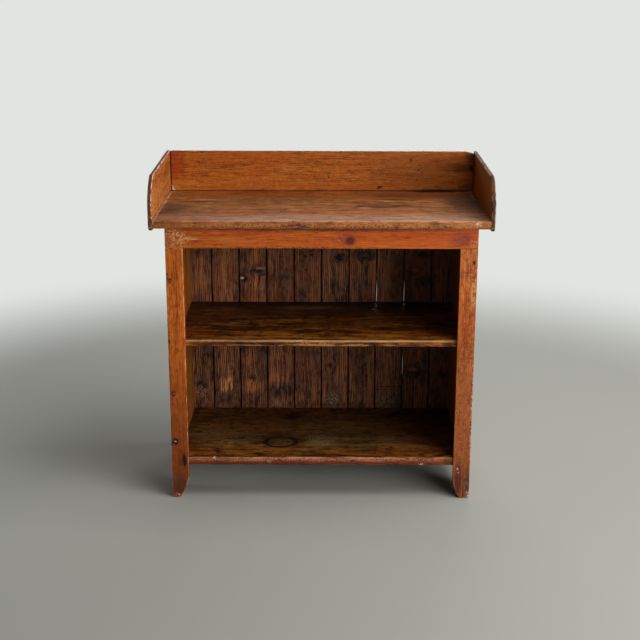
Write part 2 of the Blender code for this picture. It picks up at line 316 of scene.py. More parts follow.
class Graph:
    """Adds nodes to a tree. An input is a number, a tuple or another node's output."""

    def __init__(self, tree):
        self.tree = tree

    def node(self, kind, inputs=(), **settings):
        made = self.tree.nodes.new(kind)
        for key, value in settings.items():
            setattr(made, key, value)
        for key, value in dict(inputs).items():
            self.feed(made.inputs[key], value)
        return made

    def feed(self, socket, value):
        if isinstance(value, bpy.types.NodeSocket):
            self.tree.links.new(value, socket)
        elif socket.type == "RGBA":
            socket.default_value = (*value, 1.0)
        else:
            socket.default_value = value

    def math(self, operation, *values, clamp=False):
        made = self.node("ShaderNodeMath", enumerate(values), operation=operation, use_clamp=clamp)
        return made.outputs[0]

    def times(self, first, second, clamp=False):
        return self.math("MULTIPLY", first, second, clamp=clamp)

    def scaled(self, value, factor, offset, clamp=False):
        return self.math("MULTIPLY_ADD", value, factor, offset, clamp=clamp)

    def less(self, first, second):
        return self.math("SUBTRACT", first, second)

    def sum(self, first, *others):
        """The sum of values, each with its weight."""
        total = self.times(*first)
        for other in others:
            total = self.math("ADD", total, self.times(*other))
        return total

    def vector(self, operation, *values):
        made = self.node("ShaderNodeVectorMath", enumerate(values), operation=operation)
        return made.outputs["Value" if operation == "LENGTH" else "Vector"]

    def noise(self, place, detail=2.0, rough=0.5, output=0):
        inputs = {"Vector": place, "Scale": 1.0, "Detail": detail, "Roughness": rough}
        return self.node("ShaderNodeTexNoise", inputs).outputs[output]

    def step(self, value, low, high, start=0.0, end=1.0):
        """A smooth step from start to end as the value goes from low to high."""
        inputs = {"Value": value, "From Min": low, "From Max": high, "To Min": start, "To Max": end}
        return self.node("ShaderNodeMapRange", inputs, interpolation_type="SMOOTHSTEP").outputs[0]

    def mix(self, share, first, second):
        return self.node("ShaderNodeMix", {0: share, 6: first, 7: second}, data_type="RGBA").outputs[2]

    def split(self, place):
        return self.node("ShaderNodeSeparateXYZ", {0: place}).outputs

    def join(self, *parts):
        return self.node("ShaderNodeCombineXYZ", enumerate(parts)).outputs[0]


def new_material(name):
    material = bpy.data.materials.new(name)
    material.use_nodes = True
    tree = material.node_tree
    return material, tree, tree.nodes["Principled BSDF"]


SOFT, BROKEN, FLAKED, RING = range(4)
# A near-black for soot marks, also used for painted shade in the back boards' lapped joints, at the rear of
# the middle shelf and where the top meets the gallery back.
SOOT_AND_SHADE = 0x100A09
WOOD = {  # what a finish is like unless it says otherwise
    "ring": 0.25, "band": 1.0, "streak": 1.1, "fine": 0.9, "fibre": 0.4, "mottle": 0.5, "cloud": 0.4,
    "dash": 0.6, "dash_scale": (38.0, 420.0), "fleck": 0.5, "spacing": 0.005, "pith": (0.0, 0.0, 0.0),
    "lean": (0.0, 0.0, 0.0), "coarse": 1.0, "wave": 0.006, "worn": 0xB4784C, "worn_share": 0.5,
    # A finish may paint its lapped joints near-black between two depths: painted shade.
    "end_grain": 0x5C3622, "rough": 0.48, "gloss": 0.14, "bump": 0.4, "board_pitch": 0.0, "joint": (),
    "rim_axis": None, "seed": 0.0,
}
NOISES = {  # changes per metre along and across the grain, detail, roughness
    "band": (1.5, 20.0, 3.0, 0.55), "streak": (6.0, 110.0, 4.0, 0.6), "fine": (16.0, 340.0, 3.0, 0.6),
    "fibre": (70.0, 1500.0, 2.0, 0.5), "mottle": (45.0, 90.0, 3.0, 0.6), "ragged": (60.0, 130.0, 4.0, 0.6),
    "cloud": (4.0, 9.0, 3.0, 0.5), "speck": (120.0, 260.0, 2.0, 0.5), "rubbed": (40.0, 80.0, 3.0, 0.6),
}
LAYERS = ("band", "streak", "fine", "fibre", "mottle")
SEED_WAY = (1.0, 0.7, 1.3)
FLAKE_SCALE = 250.0
BOARD_SHIFT = 0.9  # how far the figure of one board lies from the next one's
BOARD_TONES = (0.16, 0.42)  # their range and the darkest
FAR = 9.0  # added to a distance for each board between
SWAY_SCALE = (4.0, 9.0)
WOBBLE_SCALE = (2.2, 11.0)
WOBBLE = 0.02
KNOT_FADE = -0.30
KNOT_PULL = -0.8
STEPS = {  # where a smooth step is 0 and where it is 1
    "ring": (0.25, 0.88), "ring end": (1.0, 0.9), "blot": (1.0, 0.35), "rim": (1.0, 0.85),
    "hollow": (0.55, 0.75), "tear": (0.47, 0.55), "flake": (0.49, 0.57), "halo": (2.2, 0.9),
    "core": (1.0, 0.8), "bark": (1.75, 1.6), "inside bark": (1.3, 1.45), "cloud": (0.42, 0.66),
    "dash": (0.58, 0.68), "speck": (0.64, 0.72), "end": (0.45, 0.75), "narrow face": (0.92, 0.6),
    "rubbed": (0.40, 0.60), "patch": (0.35, 0.65),
}
END_PATCHES = (0.25, 0.6, 0.55, 1.0)
BLOT_RAG, RING_RAG, KNOT_RAG = 0.7, 0.3, 0.9  # how far rims wander, in the sizes of the mark
BLOT_SHRINK, KNOT_SHRINK = 0.3, 0.45
BUMP_HEIGHT = 0.0012
# Painted shade: how the near-black painted into the lapped joints fades in and out at its two depths.
JOINT_SHADE_EASE = (0.0012, -0.001)


class Pine(Graph):
    """The nodes for old pine with its grain along one axis."""

    def __init__(self, tree, grain, look, knots):
        super().__init__(tree)
        self.look = look
        self.axis = AXIS[grain]
        self.across = [0.0 if index == self.axis else 1.0 for index in range(3)]
        self.place = self.node("ShaderNodeTexCoord").outputs["Object"]
        self.tone = 0.5
        self.shifted = self.vector("ADD", self.place, [look["seed"] * share for share in SEED_WAY])
        if look["board_pitch"]:
            self.part_boards()
        self.sway()
        self.knot_gaps = [self.bend(spot, reach) for spot, reach, _ in knots]
        self.ragged = self.figure("ragged")
        self.flakes = self.noise(self.vector("MULTIPLY", self.place, (FLAKE_SCALE,) * 3), 2.5, 0.6)
        self.layers = {key: self.figure(key) for key in LAYERS}

    def part_boards(self):
        """Gives each board of a row its own figure and tone."""
        across = self.split(self.place)[0]
        self.number = self.math("FLOOR", self.math("DIVIDE", across, self.look["board_pitch"]))
        chance = self.node("ShaderNodeTexWhiteNoise", {"W": self.number}, noise_dimensions="1D")
        self.shifted = self.vector("MULTIPLY_ADD", chance.outputs["Color"], (BOARD_SHIFT,) * 3, self.shifted)
        self.tone = self.scaled(chance.outputs["Value"], *BOARD_TONES)

    def sway(self):
        """Lets the grain wave gently."""
        scale = [SWAY_SCALE[1] if share else SWAY_SCALE[0] for share in self.across]
        swing = self.noise(self.vector("MULTIPLY", self.shifted, scale), output=1)
        swing = self.vector("MULTIPLY", self.vector("SUBTRACT", swing, (0.5, 0.5, 0.5)), self.across)
        self.shifted = self.vector("MULTIPLY_ADD", swing, (2.0 * self.look["wave"],) * 3, self.shifted)

    def gap(self, spot, reach):
        """The distance from a mark's middle, in the mark's own sizes. On other boards it is far away."""
        gap = self.vector("LENGTH", self.vector("DIVIDE", self.vector("SUBTRACT", self.place, spot), reach))
        pitch = self.look["board_pitch"]
        if pitch and reach[0] < pitch:
            boards = self.math("ABSOLUTE", self.less(self.number, math.floor(spot[0] / pitch)))
            gap = self.scaled(boards, FAR, gap)
        return gap

    def bend(self, spot, reach):
        """Bends the grain round a knot, and returns the distance from it in knot sizes."""
        offset = self.vector("SUBTRACT", self.place, spot)
        gap = self.gap(spot, reach)
        pull = self.math("EXPONENT", self.times(self.times(gap, gap), KNOT_FADE))
        turn = self.vector("MULTIPLY", offset, [KNOT_PULL * share for share in self.across])
        self.shifted = self.vector("MULTIPLY_ADD", turn, self.join(pull, pull, pull), self.shifted)
        return gap

    def stretched(self, along, across):
        scale = [across * self.look["coarse"] if share else along for share in self.across]
        return self.vector("MULTIPLY", self.shifted, scale)

    def figure(self, key):
        along, across, detail, rough = NOISES[key]
        return self.noise(self.stretched(along, across), detail, rough)

    def rings(self):
        """Growth rings round a leaning pith line."""
        run = self.split(self.shifted)[self.axis]
        leaning = self.join(*[self.times(run, value) for value in self.look["lean"]])
        wobble = self.noise(self.stretched(*WOBBLE_SCALE), output=1)
        cross = self.vector("ADD", self.vector("SUBTRACT", self.shifted, self.look["pith"]), leaning)
        cross = self.vector("MULTIPLY_ADD", wobble, (WOBBLE,) * 3, cross)
        distance = self.vector("LENGTH", self.vector("MULTIPLY", cross, self.across))
        year = self.math("FRACT", self.math("DIVIDE", distance, self.look["spacing"]))
        return self.times(self.step(year, *STEPS["ring"]), self.step(year, *STEPS["ring end"]))

    def blot(self, colour, spot, reach, tint, share, kind):
        """A mark of staining, a scrape, a ring, or in places painted shade: soft, broken along the grain, in
        flakes, or only its rim.
        """
        gap = self.less(self.gap(spot, reach), BLOT_SHRINK)
        gap = self.scaled(self.ragged, RING_RAG if kind == RING else BLOT_RAG, gap)
        mark = self.step(gap, *STEPS["rim" if kind == RING else "blot"])
        if kind == BROKEN:
            torn = self.sum((self.layers["streak"], 0.5), (self.layers["fine"], 0.25), (self.ragged, 0.25))
            mark = self.times(mark, self.step(torn, *STEPS["tear"]))
        elif kind == FLAKED:
            mark = self.times(mark, self.step(self.flakes, *STEPS["flake"]))
        elif kind == RING:
            mark = self.times(mark, self.step(gap, *STEPS["hollow"]))
        return self.mix(self.times(mark, share), colour, tint)

    def knot(self, colour, gap, dark, share):
        """A knot's halo and core, and how deep it lies."""
        torn = self.scaled(self.ragged, KNOT_RAG, self.less(gap, KNOT_SHRINK))
        halo = self.times(self.step(torn, *STEPS["halo"]), 0.6 * share)
        core = self.times(self.step(torn, *STEPS["core"]), 0.95 * share)
        bark = self.times(self.step(torn, *STEPS["bark"]), self.step(torn, *STEPS["inside bark"]))
        colour = self.mix(halo, colour, darker(dark, 0.8))
        colour = self.mix(self.times(bark, 0.35 * share), colour, darker(dark, 0.3))
        return self.mix(core, colour, darker(dark, 0.2)), core


def wood(name, grain, colours, stains_and_shade=(), knots=(), blots=(), **changes):
    """Old pine in dark, middle, light and accent colours, with marks under its knots and marks over them, some
    of which are painted shade.
    """
    look = {**WOOD, **changes}
    dark, middle, light, accent = (srgb(colour) for colour in colours)
    material, tree, shader = new_material(name)
    g = Pine(tree, grain, look, knots)
    rings = g.rings()
    tone = g.scaled(g.less(rings, 0.4), -look["ring"], g.tone)
    for key, value in g.layers.items():
        tone = g.scaled(g.less(value, 0.5), look[key], tone)
    colour = g.mix(g.times(tone, 2.0, clamp=True), dark, middle)
    colour = g.mix(g.scaled(tone, 2.0, -1.0, clamp=True), colour, light)
    cloud = g.step(g.figure("cloud"), *STEPS["cloud"])
    colour = g.mix(g.times(cloud, look["cloud"]), colour, accent)
    for mark_under_knots in stains_and_shade:
        colour = g.blot(colour, *mark_under_knots)
    dashes = g.step(g.noise(g.stretched(*look["dash_scale"])), *STEPS["dash"])
    colour = g.mix(g.times(dashes, look["dash"]), colour, darker(dark, 0.6))
    specks = g.step(g.figure("speck"), *STEPS["speck"])
    colour = g.mix(g.times(specks, look["fleck"]), colour, darker(dark, 0.35))
    relief = g.sum((rings, -0.35), (g.layers["streak"], 0.7), (g.layers["fine"], 0.5), (dashes, -0.3))
    for gap, (_, _, share) in zip(g.knot_gaps, knots):
        colour, core = g.knot(colour, gap, dark, share)
        relief = g.scaled(core, -0.8, relief)
    for blot in blots:
        colour = g.blot(colour, *blot)

    normal = g.split(g.node("ShaderNodeTexCoord").outputs["Normal"])
    facing = [g.math("ABSOLUTE", part) for part in normal[:3]]
    if look["rim_axis"] is None:
        ends = g.step(facing[g.axis], *STEPS["end"])
    else:
        ends = g.step(facing[look["rim_axis"]], *STEPS["narrow face"])
    ends = g.times(ends, g.step(g.ragged, *END_PATCHES))
    colour = g.mix(ends, colour, srgb(look["end_grain"]))
    edge = g.node("ShaderNodeAttribute", attribute_name="edge").outputs["Fac"]
    worn = g.times(edge, g.step(g.figure("rubbed"), *STEPS["rubbed"]))
    colour = g.mix(g.times(worn, look["worn_share"]), colour, srgb(look["worn"]))
    # Painted shade: the faces deep in the lapped joints, between the two depths, are coloured near-black.
    if look["joint"]:
        depth = g.split(g.place)[1]
        start, end = (g.step(depth, at, at + ease) for at, ease in zip(look["joint"], JOINT_SHADE_EASE))
        colour = g.mix(g.times(start, end), colour, srgb(SOOT_AND_SHADE))

    g.feed(shader.inputs["Base Color"], colour)
    g.feed(shader.inputs["Roughness"], g.scaled(g.layers["band"], 0.3, look["rough"] - 0.15, clamp=True))
    shader.inputs["Specular IOR Level"].default_value = look["gloss"]
    bump = g.node("ShaderNodeBump", {"Strength": look["bump"], "Distance": BUMP_HEIGHT, "Height": relief})
    g.feed(shader.inputs["Normal"], bump.outputs[0])
    return material


PATCH_SCALE = 260.0
GRIT_SCALE = 1500.0


def nail_iron(name, dark, light):
    material, tree, shader = new_material(name)
    g = Graph(tree)
    place = g.node("ShaderNodeTexCoord").outputs["Object"]
    patches = g.noise(g.vector("MULTIPLY", place, (PATCH_SCALE,) * 3), 3.0, 0.6)
    grit = g.noise(g.vector("MULTIPLY", place, (GRIT_SCALE,) * 3))
    g.feed(shader.inputs["Base Color"], g.mix(g.step(patches, *STEPS["patch"]), srgb(dark), srgb(light)))
    shader.inputs["Metallic"].default_value = 0.2
    g.feed(shader.inputs["Roughness"], g.scaled(grit, 0.35, 0.40))
    bump = g.node("ShaderNodeBump", {"Strength": 0.4, "Distance": 0.0004, "Height": grit})
    g.feed(shader.inputs["Normal"], bump.outputs[0])
    return material


# Finishes
GRIME = 0x281812
RAW = 0xBA8454
PURPLE = 0x582824
INK = 0x181417
DRIP = 0x54240E
BACK_GOLD = 0xB06632
# Painted shade: near-black spots that stand in for the hollows of holes in the back boards, which are not cut.
HOLE_SHADE_BLACK = 0x060404
MM = 1000  # millimetres in a metre
WIDE = 700  # a mark this wide runs the whole length
FRONT = ("Y", -210, 20)  # faces: the axis across one, its place on it and how deep its marks go
FEET = ("Y", -200, 200)
TOP, TOP_NOSE = ("Z", 853, 30), ("Y", -238, 12)
SHELF, SHELF_NOSE = ("Z", 491.5, 20), ("Y", -198, 6)
BOTTOM, BOTTOM_NOSE = ("Z", 127.7, 20), ("Y", -204.5, 6)
BACK = ("Y", 222, 30)
SIDE_PLACE = 444.5
GALLERY_PLACE = 475
KNOT_DEPTH = 20


def spot_on(axis, level, depth, across, up, wide, tall):
    """A place on a face and the reach of a mark there, in metres."""
    place = PLANES[axis]
    sizes = (place(across, up, level), place(wide, tall, depth))
    return [tuple(value / MM for value in size) for size in sizes]


def marks_on(face, rows):
    """Marks: across, up, half width and half height in millimetres, colour and share in per cent, then the
    kind, unless it is SOFT, and the depth, unless it is the face's."""
    axis, level, depth = face
    marks = []
    for across, up, wide, tall, tint, share, *own in rows:
        kind, deep = (*own, *(SOFT, depth)[len(own):])
        spot, reach = spot_on(axis, level, deep, across, up, wide, tall)
        marks.append((spot, reach, srgb(tint), share / 100, kind))
    return marks


def knots_on(face, rows, depth=KNOT_DEPTH):
    """Knots: across, up, half width and half height in millimetres, and share in per cent."""
    axis, level, _ = face
    return [(*spot_on(axis, level, depth, *size), share / 100) for *size, share in rows]


RAIL_FINISH = wood(
    "orange_pine_rail", "X", (0x782A06, 0xA64E14, 0xBA6828, 0xAC3C08),
    stains_and_shade=marks_on(FRONT, [
        (66, 797, 50, 30, 0x863222, 75), (399, 795, 50, 30, 0x843A2A, 80),
        (81, 791, 22, 18, 0x58241C, 80)]),
    knots=knots_on(FRONT, [(81, 791, 8, 7, 85)]),
    blots=marks_on(FRONT, [
        (82, 790.5, 4.5, 4, 0x745042, 40), (-420, 797, 60, 46, 0xC89668, 95, FLAKED),
        (-436, 788, 22, 34, 0x683820, 80, FLAKED), (-391, 796, 60, 14, 0xC89668, 85, BROKEN),
        (52, 798, 22, 18, RAW, 50, FLAKED), (400, 792, 50, 26, PURPLE, 50, FLAKED),
        (432, 785, 16, 22, RAW, 80, FLAKED), (-100, 769, 400, 8, GRIME, 80, FLAKED),
        # The wide dark band along the top of the rail, under the top board's overhang, is painted shade, with
        # some dirt.
        (0, 830.5, WIDE, 20, 0x461A08, 85)]),
    pith=(0, 0.03, 0.76), ring=0.15, fine=1.3, seed=1.0)
STILE_FINISH = {
    "left": wood(
        "orange_pine_stile_left", "Z", (0x682C06, 0xA25014, 0xBE702A, 0xA6460A),
        stains_and_shade=marks_on(FEET, [
            # Darker towards the foot: dirt, and partly painted shade.
            (-420, 0, 200, 600, 0x682E0C, 75),
            (-420, 20, 50, 100, 0x462614, 90, SOFT, 50)]) + marks_on(FRONT, [
            (-419, 120, 16, 55, 0x54200C, 80, BROKEN)]),
        knots=knots_on(FRONT, [(-409, 118, 7, 19, 40)]),
        blots=marks_on(FRONT, [
            (-407, 118, 9.5, 34, SOOT_AND_SHADE, 97), (-411, 104, 8, 24, SOOT_AND_SHADE, 85, BROKEN),
            (-430, 2, 20, 18, 0xC89C74, 90, FLAKED, 30), (-432.5, 181, 13, 19, SOOT_AND_SHADE, 97),
            (-433, 331, 9, 12, SOOT_AND_SHADE, 85), (-433, 673, 9, 12, SOOT_AND_SHADE, 85),
            (-441.5, 690, 8, 26, SOOT_AND_SHADE, 90, FLAKED), (-441.5, 490, 6, 12, SOOT_AND_SHADE, 90),
            (-419, 465, 12, 12, GRIME, 60, FLAKED), (-444.5, 450, 5, 420, GRIME, 90, FLAKED)]),
        pith=(-0.42, 0.05, 0), ring=0.15, band=1.8, mottle=1.6, fine=1.4, fleck=0.7, worn=0xDEAC84,
        worn_share=0.9, seed=2.0),
    "right": wood(
        "orange_pine_stile_right", "Z", (0x703410, 0x9E5422, 0xB8723A, 0x9E4416),
        stains_and_shade=marks_on(FEET, [
            # Darker towards the foot: dirt, and partly painted shade.
            (420, 0, 200, 600, 0x703618, 75)]) + marks_on(FRONT, [
            (410, 60, 17, 90, 0x421E1B, 95, SOFT, 30), (414, 45, 10, 40, 0x581A0E, 90, BROKEN, 30),
            (438, 30, 14, 70, 0x5C4432, 90, SOFT, 30)]),
        knots=knots_on(FRONT, [(434, 728, 3.5, 5, 100)]),
        blots=marks_on(FRONT, [
            (420, 705, 30, 10, 0x742A14, 90, FLAKED), (420, 698.3, 40, 2.4, 0x542412, 90),
            (436, 45, 10, 50, GRIME, 95, BROKEN, 30), (437, 50, 14, 75, SOOT_AND_SHADE, 90, FLAKED, 30),
            (440, 12, 8, 18, 0xCEA07A, 90, FLAKED, 30), (408, 95, 4, 6, 0xBE8C74, 90, SOFT, 30),
            (410, 83, 6, 3, 0xA06E6E, 80, SOFT, 30), (425, 420, 40, 260, 0x5C2812, 70, FLAKED),
            (402, 430, 10, 100, PURPLE, 60, BROKEN), (437, 640, 12, 80, 0xCE9E6E, 50, FLAKED),
            (444.5, 260, 6, 260, 0xCEA07A, 85, FLAKED, 30), (418, 260, 40, 240, 0xB06C40, 40, FLAKED)]),
        pith=(0.42, 0.06, 0), ring=0.15, band=1.6, mottle=2.0, fine=1.5, fleck=0.8, worn=0xCE9C70,
        worn_share=0.8, seed=3.0),
}
GALLERY_BACK_FINISH = wood(
    "orange_pine_gallery_back", "X", (0x622806, 0x9E5418, 0xB47028, 0xA44810),
    stains_and_shade=marks_on(BACK, [
        (-466, 945, 60, 85, 0x842A0C, 60), (-476, 920, 10, 140, 0x461C16, 90),
        (300, 930, 240, 90, 0x7A421A, 40), (0, 960, WIDE, 40, 0x923E12, 40, BROKEN)]),
    blots=marks_on(BACK, [
        (0, 853, WIDE, 8, GRIME, 90, BROKEN), (183, 867, 10, 6, SOOT_AND_SHADE, 90, SOFT, 20),
        (177, 863, 7, 5, SOOT_AND_SHADE, 90, SOFT, 20), (303, 921, 7.5, 6, SOOT_AND_SHADE, 75, SOFT, 20),
        (312, 914, 5, 4, GRIME, 70, SOFT, 20), (327, 928, 2.6, 18, GRIME, 60, BROKEN, 20),
        (279, 952, 4.5, 10, SOOT_AND_SHADE, 80, SOFT, 20), (470, 926, 14, 16, SOOT_AND_SHADE, 90),
        # The dark mark at 466 across and 962 up, in the top right corner, is painted shadow of the right
        # gallery side.
        (445, 927, 70, 22, 0x361808, 65), (466, 962, 28, 36, SOOT_AND_SHADE, 60),
        (425, 885, 80, 22, 0x74280E, 70, BROKEN), (158, 893, 24, 14, 0x703E2C, 60),
        (21, 897, 6, 4, SOOT_AND_SHADE, 70, SOFT, 20), (452, 864, 40, 22, SOOT_AND_SHADE, 85, BROKEN),
        # The dark mark at 360 across and 853 up is painted shade where the gallery back meets the top.
        (425, 926, 95, 16, SOOT_AND_SHADE, 80, BROKEN), (360, 853, 150, 11, SOOT_AND_SHADE, 90),
        (-374, 977, 20, 7, GRIME, 90, FLAKED), (-100, 926, 34, 14, RAW, 60, FLAKED),
        (-470, 859, 16, 16, 0xCEBA98, 85, FLAKED), (-380, 930, 50, 40, GRIME, 45, FLAKED),
        (0, 910, WIDE, 80, 0x54240A, 35, FLAKED)]) + marks_on(("Y", 230, 60), [
        (0, 981, WIDE, 7, 0x542C18, 90)]),
    pith=(0, 0.28, 0.90), lean=(0, 0, 0.03), ring=0.2, band=0.7, streak=1.0, fine=1.4, mottle=0.9,
    worn=0x543020, worn_share=0.8, gloss=0.11, seed=4.0)
GALLERY_MARKS = {
    "left": marks_on(("X", -GALLERY_PLACE, 20), [
        (0, 910, 500, 90, 0x54280E, 55, FLAKED)]),
    "right": marks_on(("X", GALLERY_PLACE, 20), [
        (0, 910, 600, 120, 0xA6641E, 75), (0, 910, 500, 90, 0x542E0E, 30, FLAKED),
        (200, 930, 60, 90, 0x3C2210, 60)]) + marks_on(("X", 483, 20), [
        (-236, 900, 14, 100, 0x544036, 85)]) + marks_on(("X", 487, 7), [
        (-212, 945, 50, 50, 0x685246, 80)]),
}
GALLERY_RIM = {"left": dict(end_grain=0x4A302A, worn=0xCCA488, worn_share=0.85),
               "right": dict(end_grain=0x3C2B22, worn=0xC4AC96, worn_share=0.65)}
GALLERY_SIDE_FINISH = {
    side: wood(
        f"orange_pine_gallery_{side}", "Y", (0x602C0C, 0x985222, 0xB2703A, 0x944216),
        stains_and_shade=marks_on(("X", sign * GALLERY_PLACE, 20), [(0, 853, 500, 10, GRIME, 60, BROKEN)]),
        blots=GALLERY_MARKS[side], pith=(sign * 0.52, 0, 0.90), ring=0.15, band=2.0, mottle=1.4, fine=1.4,
        rim_axis=0, rough=0.65, gloss=0.02, seed=5.0 + sign, **GALLERY_RIM[side])
    for side, sign in SIDES
}
TOP_FINISH = wood(
    "worn_pine_top", "X", (0x381C0A, 0x824E28, 0xAA764E, 0x904A1E),
    stains_and_shade=marks_on(TOP, [
        (0, -170, WIDE, 120, 0x9A6844, 35, BROKEN), (0, 170, WIDE, 120, 0x8E4818, 60),
        (0, 170, WIDE, 130, 0x2E1408, 65, BROKEN), (300, 160, 260, 100, 0x3C1C0C, 60),
        # The dark marks at 440 and 450 across darken the right end: staining, and partly painted shadow of the
        # right gallery side.
        (440, 60, 110, 220, 0x2C1A12, 90, BROKEN), (-445, -60, 75, 120, 0x523828, 45),
        (-445, -60, 85, 130, 0x302018, 75, BROKEN), (-320, -56, 120, 30, 0x483226, 50, BROKEN),
        (-171, -75, 70, 24, 0x3C2C22, 85, BROKEN), (450, 40, 110, 180, 0x402A1E, 60),
        (410, -180, 110, 60, 0x3C281E, 85, BROKEN),
        (-160, 60, 240, 70, 0x503828, 75, BROKEN)]) + marks_on(TOP_NOSE, [
        (0, 838, WIDE, 18, 0xA6663A, 85)]),
    knots=knots_on(TOP, [(150, -30, 34, 9, 50)]),
    blots=marks_on(TOP, [
        # The first mark, dark along the rear edge of the top at the right, is painted shade where the top
        # meets the gallery back.
        (360, 218, 130, 26, SOOT_AND_SHADE, 90), (-120, -64, 40, 9, 0x483E34, 80),
        (175, -8, 65, 20, 0x32241C, 90, BROKEN), (168, -12, 60, 26, 0x302018, 80, RING),
        (130, -44, 30, 7, 0xC49C78, 70), (-80, -80, 30, 6, 0xBE9676, 70),
        (-472, 0, 7, 400, 0xCEB294, 80, FLAKED),
        (465, 150, 10, 100, 0xB0967E, 70, FLAKED)]) + marks_on(TOP_NOSE, [
        # The dark band at 830.5 mm, on the lower rim of the nose and the front of the underside, is painted
        # shade under the overhang.
        (0, 837, WIDE, 18, 0x4E2A12, 75, FLAKED), (0, 830.5, WIDE, 9, 0x542C14, 70, SOFT, 16),
        (-70, 838, 56, 18, 0x3C2228, 90, BROKEN), (330, 836, 54, 14, 0x32201C, 95, BROKEN),
        (440, 845, 14, 10, 0xDCBEA0, 90, FLAKED)]),
    pith=(0, 0.02, 0.80), lean=(0, 0.04, 0), ring=0.3, coarse=0.4, wave=0.02, streak=1.7, fine=2.0,
    mottle=0.8, dash=0.45, dash_scale=(26.0, 150.0), worn=0xC48E62, worn_share=0.55, rough=0.52,
    gloss=0.06, seed=6.0)
SHELF_GRAIN = dict(coarse=0.36, wave=0.035, band=1.6, dash=0.9, dash_scale=(30.0, 170.0), fleck=0.8)
SHELF_FINISH = wood(
    "dark_pine_shelf", "X", (0x120802, 0x5C320E, 0x9C6226, 0x78300A),
    stains_and_shade=marks_on(SHELF, [
        # The wide dark marks 200 to 220 mm back darken the rear of the shelf: painted shade at the back of the
        # compartment, with some staining.
        (0, -150, WIDE, 70, 0x9A6624, 65, BROKEN), (0, 200, WIDE, 240, 0x22100E, 50),
        (0, 220, WIDE, 240, SOOT_AND_SHADE, 80, BROKEN), (0, -120, WIDE, 60, 0x964A10, 60, BROKEN),
        (0, 210, WIDE, 50, SOOT_AND_SHADE, 60), (-300, -20, 160, 120, 0x8A5828, 45, BROKEN)]),
    blots=marks_on(SHELF, [
        (-14, 52, 40, 28, 0x080605, 100, RING), (-300, 20, 150, 30, 0x160A06, 85, BROKEN),
        (220, -70, 140, 30, 0x160A06, 85, BROKEN), (-160, -90, 110, 20, 0x1A0C06, 80, BROKEN),
        (-14, 58, 20, 12, 0x705A34, 50), (-290, 130, 150, 35, 0x8A542E, 65, BROKEN),
        (-20, 150, 200, 40, 0x7E5C40, 65, BROKEN), (-130, 95, 110, 35, 0x8A5E3A, 60, BROKEN),
        (-200, 172, 120, 20, 0x0A0608, 90, BROKEN), (0, 120, 90, 16, 0x0A0606, 85, BROKEN),
        (-270, 11, 60, 30, SOOT_AND_SHADE, 85, BROKEN),
        (60, -20, 160, 50, 0x140A06, 70, BROKEN)]) + marks_on(SHELF_NOSE, [
        (0, 491, WIDE, 5, 0xB88C64, 85, BROKEN, 9), (0, 490.5, WIDE, 6, 0xAA805A, 60, SOFT, 8),
        (0, 484, WIDE, 4, 0x38200E, 90, FLAKED), (0, 476, WIDE, 5, 0xA8784C, 80, BROKEN)]),
    pith=(0, 0, 0.46), lean=(0, 0.05, 0), streak=2.9, fine=2.2, mottle=1.0, worn=0xA0724A,
    worn_share=0.6, gloss=0.10, seed=8.0, **SHELF_GRAIN)
BOTTOM_FINISH = wood(
    "dark_pine_bottom", "X", (0x100802, 0x522E0E, 0x8C5C28, 0x6C2808),
    stains_and_shade=marks_on(BOTTOM, [
        (0, -160, WIDE, 55, 0x7E3C14, 55, BROKEN), (0, 220, WIDE, 200, SOOT_AND_SHADE, 60, BROKEN),
        (0, 20, WIDE, 160, 0x32160C, 50), (0, 0, WIDE, 200, 0x807042, 35, FLAKED),
        (-300, -40, 160, 120, 0x928056, 65, FLAKED), (180, -70, 160, 90, 0x8C7A50, 40, FLAKED),
        (0, -50, WIDE, 180, 0x180E06, 45, FLAKED)]),
    knots=knots_on(BOTTOM, [(-126, -82, 18, 11, 50), (-94.3, 125, 14, 12, 90)]),
    blots=marks_on(BOTTOM, [
        (-126, -82, 70, 56, 0x1E1208, 30), (-126, -82, 50, 42, 0x080504, 95, RING),
        (-156, -76, 34, 40, SOOT_AND_SHADE, 85, BROKEN), (-116, -86, 40, 28, 0x744E24, 60, BROKEN),
        (-122, -80, 26, 19, 0x080504, 50, RING), (-124, -80, 56, 46, 0x927442, 40, FLAKED),
        (-97, 140, 40, 36, SOOT_AND_SHADE, 90), (-50, 95, 60, 22, SOOT_AND_SHADE, 80, BROKEN),
        (3, -70, 80, 80, 0x96865A, 60, FLAKED)]) + marks_on(BOTTOM_NOSE, [
        (0, 116, WIDE, 30, 0x682E1A, 80), (0, 111, WIDE, 14, 0x3A180E, 90, FLAKED),
        (0, 119, WIDE, 12, 0xAA6A50, 30, BROKEN), (0, 122, WIDE, 10, 0xC48C70, 50, FLAKED),
        (0, 127.5, WIDE, 5, 0xB47C5E, 80, BROKEN, 9), (93, 117, 16, 8, 0x321614, 90, BROKEN, 20),
        (-155, 116, 7, 7, 0xB48C6E, 80, SOFT, 20), (-155, 116, 4, 4, SOOT_AND_SHADE, 95, SOFT, 20),
        (-318, 125.5, 8, 6, 0xE2C4AA, 80, FLAKED, 20), (299, 106, 14, 6, 0xE2C4AA, 80, FLAKED, 20),
        (377, 115, 20, 30, 0x4C2C1A, 80)]),
    pith=(0, -0.05, 0.10), lean=(0, 0.04, 0), streak=2.4, fine=2.0, mottle=1.2, worn=0xAA7054,
    gloss=0.06, seed=9.0, **SHELF_GRAIN)
